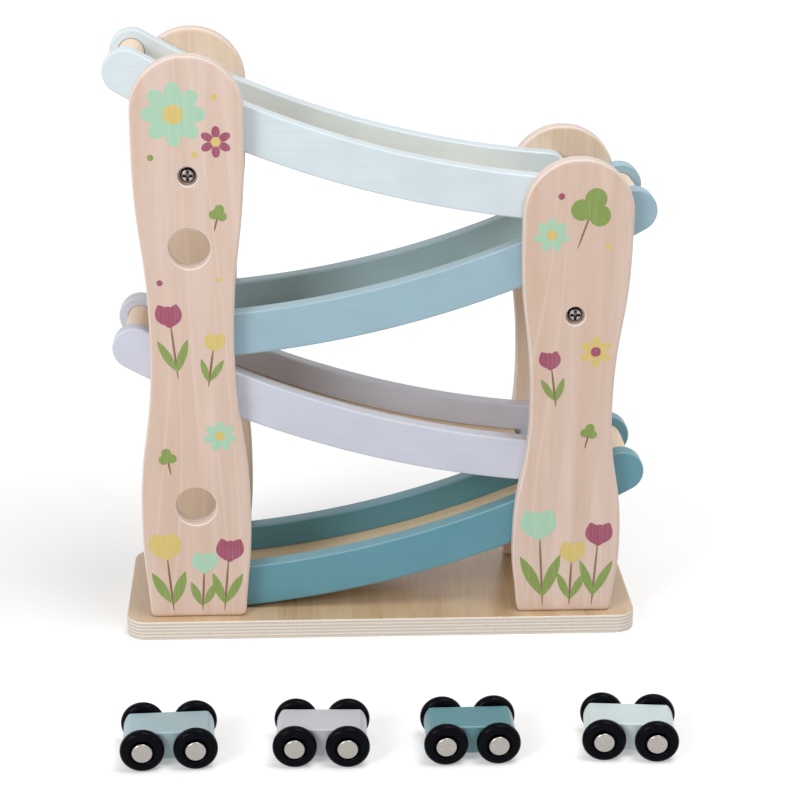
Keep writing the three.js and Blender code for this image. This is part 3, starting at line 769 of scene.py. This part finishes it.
class CARRUN_OT_base_board(bpy.types.Operator):
    """Makes the plywood base board with the counterbores in its underside"""

    bl_idname = "carrun.base_board"
    bl_label = "Base board"

    def execute(self, context):
        wood = context.scene.carrun_wood
        board = round_block(*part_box("base_board"), wood.base_corner, wood.base_edge)
        cutter = bmesh.new()
        for name in ("front_left", "front_right", "back_left", "back_right"):
            centre = middle_of(f"foot_screw_{name}")
            place = Matrix.Translation((centre.x, centre.y, 0.0))
            add_rod(cutter, COUNTERBORE_RADIUS, 2 * BASE_COUNTERBORE, place)
        show(carved(board, cutter), "board", TRACK, board_finish(wood), "base_board")
        return {"FINISHED"}


def post_rows(height, waist, bulge):
    """Half widths of a post and their heights above its foot, from the foot to the round top."""
    top_centre = height - TOP_HALF_WIDTH
    shoulder = top_centre - SHOULDER
    flare = (FOOT_HALF_WIDTH + BULGE_HALF_WIDTH) / 2
    rows = []
    for step in range(ROUND_STEPS):
        turn = math.pi / 2 * step / ROUND_STEPS
        half = FOOT_HALF_WIDTH - FOOT_RADIUS * (1 - math.sin(turn))
        rows.append((half, FOOT_RADIUS * (1 - math.cos(turn))))
    bends = [
        (FOOT_HALF_WIDTH, FOOT_RADIUS, flare, BULGE_HALF_WIDTH, bulge),
        (BULGE_HALF_WIDTH, bulge, BULGE_HALF_WIDTH, WAIST_HALF_WIDTH, waist),
        (WAIST_HALF_WIDTH, waist, WAIST_HALF_WIDTH, TOP_HALF_WIDTH, shoulder),
    ]
    for start, low, start_handle, end, high in bends:
        level = (low + high) / 2
        knots = [(start, low, 0.0), (start_handle, level, 0.0), (end, level, 0.0), (end, high, 0.0)]
        bend = interpolate_bezier(*[Vector(knot) for knot in knots], CURVE_STEPS)
        rows.extend((point.x, point.y) for point in bend[:-1])
    rows.append((TOP_HALF_WIDTH, shoulder))
    for step in range(TOP_STEPS):
        turn = math.pi / 2 * step / TOP_STEPS
        rows.append((TOP_HALF_WIDTH * math.cos(turn), top_centre + TOP_HALF_WIDTH * math.sin(turn)))
    return rows


def post_shape(low, high, waist, bulge, edge):
    """A wavy upright plank: a box that is cut across into rows, each moved to its width and height."""
    rows = post_rows(high.z - low.z, waist, bulge)
    middle = (low + high) / 2
    bm = block((-1.0, low.y, 0.0), (1.0, high.y, 1.0))
    bmesh.ops.subdivide_edges(bm, edges=upright_edges(bm), cuts=len(rows) - 2, use_grid_fill=True)
    for vert in bm.verts:
        half, level = rows[round(vert.co.z * (len(rows) - 1))]
        vert.co.x = middle.x + math.copysign(half, vert.co.x)
        vert.co.z = low.z + level
    round_off(bm, rim_edges(bm, 1), edge, EDGE_STEPS)
    return settle(bm)


class CARRUN_OT_posts(bpy.types.Operator):
    """Makes the wavy posts with their peep holes and screw holes"""

    bl_idname = "carrun.posts"
    bl_label = "Posts"

    def execute(self, context):
        wood = context.scene.carrun_wood
        for end, (waist, bulge) in POST_HEIGHTS.items():
            for side in SIDES:
                low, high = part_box(f"post_{side}_{end}")
                post = post_shape(low, high, waist, bulge, wood.post_edge)
                x = (low.x + high.x) / 2
                for level in PEEP_HOLES[end]:
                    tool = hole_tool(PEEP_HOLE_RADIUS, wood.hole_edge, low.y, high.y, x, level, True)
                    post = carved(post, tool)
                level = middle_of(f"post_screw_{side}_{end}").z
                outer, inward = (low.y, POST_COUNTERBORE) if side == "front" else (high.y, -POST_COUNTERBORE)
                tool = hole_tool(COUNTERBORE_RADIUS, wood.hole_edge, outer, outer + inward, x, level, False)
                post = carved(post, tool)
                show(post, f"{side}_{end}_post", TRACK, post_finish(wood, side), f"post_{side}_{end}")
        return {"FINISHED"}


class CARRUN_OT_bars(bpy.types.Operator):
    """Makes the cross bars between the posts and the bumper dowels of the ramps"""

    bl_idname = "carrun.bars"
    bl_label = "Bars and dowels"

    def execute(self, context):
        wood = context.scene.carrun_wood
        nodes = ["cross_bar_left", "cross_bar_right"]
        nodes += [f"ramp_{number}_bumper_dowel" for number in RAMP_NUMBERS]
        for node in nodes:
            low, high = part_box(node)
            radius = (high.z - low.z) / 2
            section = [(0.0, low.y), (radius, low.y), (radius, high.y), (0.0, high.y)]
            bar = lathe(section, {1: wood.bar_edge, 2: wood.bar_edge})
            middle = middle_of(node)
            place = Matrix.Translation((middle.x, 0.0, middle.z))
            show(bar, f"{node}_turned", TRACK, dowel_finish(wood), node, place)
        return {"FINISHED"}


class CARRUN_OT_screws(bpy.types.Operator):
    """Makes the cross-head screws in the posts and under the base board"""

    bl_idname = "carrun.screws"
    bl_label = "Screws"

    def execute(self, context):
        steel = shared("screw_metal", brushed_metal, context.scene.carrun_cars.screw, SCREW_GLOSS)
        section = [
            (0.0, -SCREW_HEAD_HEIGHT), (SCREW_HEAD_RADIUS, -SCREW_HEAD_HEIGHT),
            (SCREW_HEAD_RADIUS, 0.0), (SCREW_RADIUS, 0.0),
            (SCREW_RADIUS, SCREW_LENGTH - SCREW_TIP), (0.0, SCREW_LENGTH),
        ]
        screw = lathe(section, {1: SCREW_HEAD_ROUND})
        low = -SCREW_HEAD_HEIGHT - SLOT_DEPTH
        high = -SCREW_HEAD_HEIGHT + SLOT_DEPTH
        for length, width in ((SLOT_LENGTH, SLOT_WIDTH), (SLOT_WIDTH, SLOT_LENGTH)):
            slot = block((-length / 2, low, -width / 2), (length / 2, high, width / 2))
            screw = carved(screw, slot)
        for end in POST_HEIGHTS:
            for side in SIDES:
                node = f"post_screw_{side}_{end}"
                low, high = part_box(node)
                seat = middle_of(node)
                seat.y = low.y + SCREW_HEAD_HEIGHT if side == "front" else high.y - SCREW_HEAD_HEIGHT
                place = Matrix.Translation(seat) @ half_turn(side == "back")
                show(screw.copy(), f"{side}_{end}_post_screw", TRACK, steel, node, place)
                node = f"foot_screw_{side}_{end}"
                low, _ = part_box(node)
                seat = middle_of(node)
                seat.z = low.z + SCREW_HEAD_HEIGHT
                place = Matrix.Translation(seat) @ Matrix.Rotation(math.pi / 2, 4, "X")
                show(screw.copy(), f"{side}_{end}_foot_screw", TRACK, steel, node, place)
        screw.free()
        return {"FINISHED"}


class CARRUN_OT_ramps(bpy.types.Operator):
    """Makes the painted rails and the bent plywood floors of the ramps"""

    bl_idname = "carrun.ramps"
    bl_label = "Ramps"

    def execute(self, context):
        wood = context.scene.carrun_wood
        paints = context.scene.carrun_ramps
        under = RAMP_RADIUS + RAIL_HEIGHT
        middle = RAMP_RADIUS + RAIL_HEIGHT / 2
        floor_under = under - FLOOR_LIP
        floor_top = floor_under - FLOOR_THICKNESS
        dowel = middle_of("ramp_1_bumper_dowel")
        lower = math.asin((ARC_X - LOWER_END_X) / middle)
        upper = math.asin((ARC_X - dowel.x) / middle)
        floor_lower = math.asin((ARC_X - FLOOR_END_X) / floor_top)
        floor_upper = upper - FLOOR_TO_DOWEL / middle
        rails = {}
        end = upper + RAIL_HEIGHT / 2 / middle
        for side in SIDES:
            low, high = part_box(f"ramp_1_{side}_rail")
            rail = arc_bar(RAMP_RADIUS, under, low.y, high.y, lower, end, END_RUN)
            for radius, turn, rounding in (
                (RAMP_RADIUS, lower, LOWER_TOP_RADIUS),
                (under, lower, LOWER_UNDER_RADIUS),
                (RAMP_RADIUS, end, UPPER_END_RADIUS),
                (under, end, UPPER_END_RADIUS),
            ):
                edge = cross_edge(rail, -radius * math.sin(turn), -radius * math.cos(turn))
                round_off(rail, [edge], rounding, 2 * ROUND_STEPS)
            round_off(rail, rim_edges(rail, 1), paints.rail_edge, EDGE_STEPS)
            inner, outward = (high.y, -1.0) if side == "front" else (low.y, 1.0)
            reach = sorted((inner - outward * OVERRUN, inner + outward * GROOVE_DEPTH))
            groove = arc_bar(
                floor_top - GROOVE_GAP, floor_under + GROOVE_GAP, *reach,
                floor_lower - GROOVE_RUNOUT / middle, floor_upper,
            )
            near, far = sorted((inner - outward * OVERRUN, inner + outward * SOCKET_DEPTH))
            place = (-middle * math.sin(upper), (near + far) / 2, -middle * math.cos(upper))
            lying = Matrix.Translation(place) @ Matrix.Rotation(math.pi / 2, 4, "X")
            add_rod(groove, SOCKET_RADIUS, far - near, lying)
            rails[side] = carved(rail, groove)
        low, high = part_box("ramp_1_floor")
        floor = arc_bar(floor_top, floor_under, low.y, high.y, floor_lower, floor_upper)
        for number in RAMP_NUMBERS:
            dowel = middle_of(f"ramp_{number}_bumper_dowel")
            turned = dowel.x > 0.0
            centre = (-ARC_X if turned else ARC_X, 0.0, dowel.z + middle * math.cos(upper))
            place = Matrix.Translation(centre) @ half_turn(turned)
            colour = getattr(paints, f"paint_{number}")
            paint = shared(f"ramp_{number}_satin", satin_paint, colour, RAIL_GRAIN)
            for side, other in zip(SIDES, reversed(SIDES)):
                shape = rails[other if turned else side]
                node = f"ramp_{number}_{side}_rail"
                show(shape.copy(), f"ramp_{number}_{side}_painted_rail", TRACK, paint, node, place)
            node = f"ramp_{number}_floor"
            show(floor.copy(), f"ramp_{number}_bent_floor", TRACK, floor_finish(wood), node, place)
        for shape in (*rails.values(), floor):
            shape.free()
        return {"FINISHED"}


def wheel_joints(number):
    """The joints of one car's wheels, by the wheel's name."""
    prefix = f"car_{number}_wheel"
    return {joint["child"]: joint for joint in frame["joints"] if joint["child"].startswith(prefix)}


class CARRUN_OT_cars(bpy.types.Operator):
    """Makes the little cars: painted bodies, steel axles and black wheels"""

    bl_idname = "carrun.cars"
    bl_label = "Cars"

    def execute(self, context):
        settings = context.scene.carrun_cars
        black = shared("gloss_black", glossy_black, settings.tyre)
        steel = shared("axle_metal", brushed_metal, settings.steel, AXLE_GLOSS)
        hub = -WHEEL_HALF_WIDTH + HUB_DEPTH
        section = [
            (WHEEL_BORE, hub), (HUB_RADIUS, hub),
            (HUB_RADIUS, -WHEEL_HALF_WIDTH), (WHEEL_RADIUS, -WHEEL_HALF_WIDTH),
            (WHEEL_RADIUS, WHEEL_HALF_WIDTH), (WHEEL_BORE, WHEEL_HALF_WIDTH),
        ]
        wheel = lathe(section, {2: settings.hub_round, 3: settings.tread_round, 4: settings.tread_round})
        section = [
            (0.0, -AXLE_END), (AXLE_HEAD_RADIUS, -AXLE_END),
            (AXLE_HEAD_RADIUS, -AXLE_HEAD_SEAT), (AXLE_RADIUS, -AXLE_HEAD_SEAT),
            (AXLE_RADIUS, AXLE_HEAD_SEAT), (AXLE_HEAD_RADIUS, AXLE_HEAD_SEAT),
            (AXLE_HEAD_RADIUS, AXLE_END), (0.0, AXLE_END),
        ]
        axle = lathe(section, {1: settings.head_round, 6: settings.head_round})
        half = Vector((CAR_LENGTH, CAR_WIDTH, CAR_HEIGHT)) / 2
        body = bowed_block(half, settings.bow, settings.edge)
        for number in CAR_NUMBERS:
            car = f"car_{number}"
            joints = wheel_joints(number)
            axis = Vector(next(iter(joints.values()))["axis"])
            turn = Matrix.Rotation(math.atan2(-axis.x, axis.y), 4, "Z")
            middle = sum((Vector(joint["pos_m"]) for joint in joints.values()), Vector()) / len(joints)
            colour = getattr(settings, f"paint_{number}")
            paint = shared(f"car_{number}_satin", satin_paint, colour, CAR_GRAIN)
            place = Matrix.Translation(middle) @ turn
            show(body.copy(), f"{car}_painted_body", car, paint, f"{car}_body", place)
            for end in ("left", "right"):
                place = Matrix.Translation(middle_of(f"{car}_axle_{end}")) @ turn
                show(axle.copy(), f"{car}_{end}_axle", car, steel, f"{car}_axle_{end}", place)
                for side in ("near", "far"):
                    node = f"{car}_wheel_{end}_{side}"
                    place = Matrix.Translation(middle_of(node)) @ turn @ half_turn(side == "far")
                    show(wheel.copy(), f"{car}_{end}_{side}_wheel", node, black, node, place)
        for shape in (wheel, axle, body):
            shape.free()
        return {"FINISHED"}


class PrintSheet:
    """Flat shapes in one ink, on the outer face of a front post."""

    def __init__(self, middle, face, ink):
        self.bm = bmesh.new()
        self.middle = middle
        self.face = face
        self.ink = ink
        self.count = 0

    def dot(self, across, up, width, height, turn=0.0, coats=1, pointed=False):
        """Adds an oval or a pointed leaf, so many millimetres from the post's middle line and above Z = 0.

        Each one stands a little further out than the last, so that no two faces share a plane.
        """
        made = bmesh.ops.create_circle(self.bm, cap_ends=True, segments=DOT_SIDES, radius=1.0)
        if pointed:
            for vert in made["verts"]:
                vert.co.x *= math.sqrt(max(0.0, 1.0 - vert.co.y ** 2))
        self.count += 1
        top = (coats + INK_STEP * self.count) * self.ink
        place = Matrix.Translation((self.middle + across * MM, self.face - top, up * MM))
        upright = Matrix.Rotation(math.pi / 2, 4, "X") @ Matrix.Rotation(math.radians(turn), 4, "Z")
        size = Matrix.Diagonal((width / 2 * MM, height / 2 * MM, 1.0, 1.0))
        bmesh.ops.transform(self.bm, verts=made["verts"], matrix=place @ upright @ size)
        faces = list({face for vert in made["verts"] for face in vert.link_faces})
        grown = bmesh.ops.extrude_face_region(self.bm, geom=faces)
        lifted = [item for item in grown["geom"] if isinstance(item, bmesh.types.BMVert)]
        bmesh.ops.translate(self.bm, verts=lifted, vec=(0.0, top, 0.0))


def daisy(inks, across, up, petals, reach, ink, heart):
    """Round petals about a round heart."""
    for number in range(petals):
        turn = 360.0 * number / petals
        angle = math.radians(turn)
        x = across - math.sin(angle) * reach * PETAL_OUT
        z = up + math.cos(angle) * reach * PETAL_OUT
        inks[ink].dot(x, z, reach * PETAL_WIDTH, reach * PETAL_LENGTH, turn)
    inks[heart].dot(across, up, reach * HEART_WIDTH, reach * HEART_WIDTH, coats=2)


def tulip(inks, across, foot, height, size, ink, lean=0.0):
    """A cup of three petals on a stem with two leaves."""
    stem = height - size * STEM_IN_CUP
    tilt = math.radians(lean)
    top_x = across - math.sin(tilt) * height
    top_z = foot + math.cos(tilt) * height - size * CUP_DROP
    mid_x = across - math.sin(tilt) * stem / 2
    mid_z = foot + math.cos(tilt) * stem / 2
    inks["brown"].dot(mid_x, mid_z, STEM_WIDTH, stem * STEM_OVERLAP, lean)
    for side in (-1.0, 1.0):
        turn = lean - side * LEAF_TURN
        x = mid_x + side * size * LEAF_OUT
        z = foot + stem * LEAF_UP
        inks["green"].dot(x, z, size * LEAF_WIDTH, stem * LEAF_LENGTH, turn, coats=2, pointed=True)
        turn = lean - side * CUP_TURN
        x = top_x + side * size * CUP_OUT
        inks[ink].dot(x, top_z, size * CUP_WIDTH, size, turn, coats=2, pointed=True)
    z = top_z - size * CUP_MIDDLE_DROP
    inks[ink].dot(top_x, z, size / 2, size * CUP_MIDDLE_HEIGHT, lean, coats=3)


def clover(inks, across, up, size, ink, lean=0.0):
    """Three round leaves on a short stem."""
    tilt = math.radians(lean)
    x = across + math.sin(tilt) * size / 2
    z = up - math.cos(tilt) * size / 2
    inks["brown"].dot(x, z, CLOVER_STEM_WIDTH, size, lean)
    for turn in (lean, lean + CLOVER_TURN, lean - CLOVER_TURN):
        angle = math.radians(turn)
        x = across - math.sin(angle) * size * CLOVER_OUT
        z = up + math.cos(angle) * size * CLOVER_OUT
        inks[ink].dot(x, z, size / 2, size / 2, turn, coats=2)


# The layouts give millimetres across from the post's middle line and up from Z = 0 first
def left_prints(inks):
    daisy(inks, -6.0, 268.0, 8, 15.0, "mint", "yellow")
    daisy(inks, 13.5, 255.0, 6, 7.5, "berry", "yellow")
    for across, up, ink in ((13.0, 276.0, "yellow"), (-17.0, 247.5, "green"), (3.5, 249.0, "yellow")):
        inks[ink].dot(across, up, 3.0, 3.0)
    clover(inks, 14.0, 220.5, 9.0, "green", -14.0)
    inks["berry"].dot(-14.5, 186.5, 3.0, 3.0)
    inks["yellow"].dot(13.5, 188.0, 2.6, 2.6)
    tulip(inks, -7.0, 138.0, 36.0, 12.0, "berry", 6.0)
    tulip(inks, 7.5, 134.0, 26.0, 9.5, "yellow", -8.0)
    daisy(inks, 12.5, 108.0, 7, 8.0, "mint", "yellow")
    clover(inks, -13.5, 97.0, 9.5, "green", 10.0)
    tulip(inks, -12.5, 14.0, 40.0, 15.0, "yellow", 5.0)
    tulip(inks, 2.0, 14.0, 30.0, 12.0, "mint", -3.0)
    tulip(inks, 13.0, 14.0, 37.0, 13.0, "berry", -5.0)


def right_prints(inks):
    clover(inks, 6.0, 222.0, 21.0, "green", -18.0)
    daisy(inks, -13.0, 209.0, 7, 8.5, "mint", "yellow")
    inks["berry"].dot(-9.0, 228.0, 3.2, 3.2)
    inks["yellow"].dot(14.5, 203.0, 3.0, 3.0)
    daisy(inks, 10.5, 150.0, 6, 8.0, "yellow", "berry")
    tulip(inks, -8.0, 122.0, 27.0, 10.0, "berry", 8.0)
    clover(inks, 9.0, 108.0, 9.0, "green", -12.0)
    tulip(inks, -11.0, 14.0, 50.0, 17.0, "mint", 4.0)
    tulip(inks, 2.5, 14.0, 33.0, 12.0, "yellow", -1.0)
    tulip(inks, 14.0, 14.0, 43.0, 13.0, "berry", -3.0)


class CARRUN_OT_prints(bpy.types.Operator):
    """Prints flowers, clovers and dots on the front posts"""

    bl_idname = "carrun.prints"
    bl_label = "Prints"

    def execute(self, context):
        settings = context.scene.carrun_prints
        for end, layout in (("left", left_prints), ("right", right_prints)):
            low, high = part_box(f"post_front_{end}")
            names = ("green", "mint", "yellow", "berry", "brown")
            inks = {name: PrintSheet((low.x + high.x) / 2, low.y, settings.ink) for name in names}
            layout(inks)
            for name, sheet in inks.items():
                material = shared(f"{name}_ink", printed_ink, getattr(settings, name))
                show(sheet.bm, f"{end}_print_{name}", TRACK, material)
        return {"FINISHED"}


def seen_directly(tree):
    """1 for what the camera sees straight, in a mirror or through glass, and 0 for light that bounces."""
    path = tree.nodes.new("ShaderNodeLightPath").outputs
    seen = path["Is Camera Ray"]
    for other in ("Is Glossy Ray", "Is Transmission Ray"):
        either = tree.nodes.new("ShaderNodeMath")
        either.operation = "MAXIMUM"
        tree.links.new(seen, either.inputs[0])
        tree.links.new(path[other], either.inputs[1])
        seen = either.outputs[0]
    return seen


class CARRUN_OT_studio(bpy.types.Operator):
    """Sets up the floor, the lamps, the sky and the camera"""

    bl_idname = "carrun.studio"
    bl_label = "Studio"

    def execute(self, context):
        scene = context.scene
        studio = scene.carrun_studio
        scene.view_settings.view_transform = "Standard"
        self.add_camera(scene, studio)
        self.add_lamp(scene, "key_lamp", KEY_PLACE, KEY_SIZE, studio.key_power)
        self.add_lamp(scene, "fill_lamp", FILL_PLACE, FILL_SIZE, studio.fill_power)
        self.add_floor(studio)
        self.add_sky(scene, studio)
        return {"FINISHED"}

    def add_camera(self, scene, studio):
        data = bpy.data.cameras.new("camera")
        data.lens = studio.lens
        data.sensor_width = SENSOR_WIDTH
        camera = bpy.data.objects.new("camera", data)
        scene.collection.objects.link(camera)
        tilt, roll, heading = studio.camera_turn
        aim = Matrix.Rotation(heading, 4, "Z") @ Matrix.Rotation(tilt, 4, "X")
        camera.matrix_world = Matrix.Translation(studio.camera_place) @ aim @ Matrix.Rotation(roll, 4, "Z")
        scene.camera = camera

    def add_lamp(self, scene, name, place, size, power):
        data = bpy.data.lights.new(name, "AREA")
        data.energy = power
        data.shape = "DISK"
        data.size = size
        lamp = bpy.data.objects.new(name, data)
        scene.collection.objects.link(lamp)
        aim = Vector(LAMP_TARGET) - Vector(place)
        lamp.matrix_world = Matrix.Translation(place) @ aim.to_track_quat("-Z", "Y").to_matrix().to_4x4()

    def add_floor(self, studio):
        bm = bmesh.new()
        bmesh.ops.create_grid(bm, x_segments=1, y_segments=1, size=STAGE_SIZE)
        floor = to_object(bm, "studio_floor")
        finish = Finish("pale_floor")
        finish.set(Base_Color=(*studio.floor, 1.0), Emission_Color=(*WHITE, 1.0))
        finish.set(Roughness=STAGE_ROUGH, Specular_IOR_Level=STAGE_SHINE)
        inputs = {0: finish.place, 1: DEEPEST_SHADE}
        distance = finish.node("ShaderNodeVectorMath", inputs, operation="DISTANCE").outputs["Value"]
        glow = finish.span(distance, *SHADE_SPAN, *GLOW_SPAN)
        finish.set(Emission_Strength=finish.math("MULTIPLY", seen_directly(finish.tree), glow))
        floor.data.materials.append(finish.material)

    def add_sky(self, scene, studio):
        world = bpy.data.worlds.new("studio_sky")
        world.use_nodes = True
        scene.world = world
        tree = world.node_tree
        sky = tree.nodes["Background"]
        sky.inputs["Color"].default_value = (*WHITE, 1.0)
        strength = tree.nodes.new("ShaderNodeMapRange")
        strength.inputs["To Min"].default_value = studio.sky
        tree.links.new(seen_directly(tree), strength.inputs["Value"])
        tree.links.new(strength.outputs["Result"], sky.inputs["Strength"])


class CARRUN_PT_panel(bpy.types.Panel):
    """Lists the pieces of the car run"""

    bl_idname = "CARRUN_PT_panel"
    bl_label = "Car run"
    bl_space_type = "VIEW_3D"
    bl_region_type = "UI"
    bl_category = "Car run"

    def draw(self, context):
        for operator in OPERATORS:
            self.layout.operator(operator.bl_idname)
        for name in SETTINGS:
            group = getattr(context.scene, name)
            column = self.layout.column()
            for prop in group.bl_rna.properties:
                if not prop.is_readonly and prop.identifier != "name":
                    column.prop(group, prop.identifier)


SETTINGS = {
    "carrun_wood": WoodSettings,
    "carrun_ramps": RampSettings,
    "carrun_cars": CarSettings,
    "carrun_prints": PrintSettings,
    "carrun_studio": StudioSettings,
}
OPERATORS = (
    CARRUN_OT_studio,
    CARRUN_OT_base_board,
    CARRUN_OT_posts,
    CARRUN_OT_prints,
    CARRUN_OT_bars,
    CARRUN_OT_screws,
    CARRUN_OT_ramps,
    CARRUN_OT_cars,
)
CLASSES = (*SETTINGS.values(), *OPERATORS, CARRUN_PT_panel)


def register():
    for entry in CLASSES:
        bpy.utils.register_class(entry)
    for name, group in SETTINGS.items():
        setattr(bpy.types.Scene, name, PointerProperty(type=group))


def unregister():
    for name in SETTINGS:
        delattr(bpy.types.Scene, name)
    for entry in reversed(CLASSES):
        bpy.utils.unregister_class(entry)


def main():
    register()
    bpy.ops.carrun.studio()
    bpy.ops.carrun.base_board()
    bpy.ops.carrun.posts()
    bpy.ops.carrun.prints()
    bpy.ops.carrun.bars()
    bpy.ops.carrun.screws()
    bpy.ops.carrun.ramps()
    bpy.ops.carrun.cars()


if __name__ == "__main__":
    main()
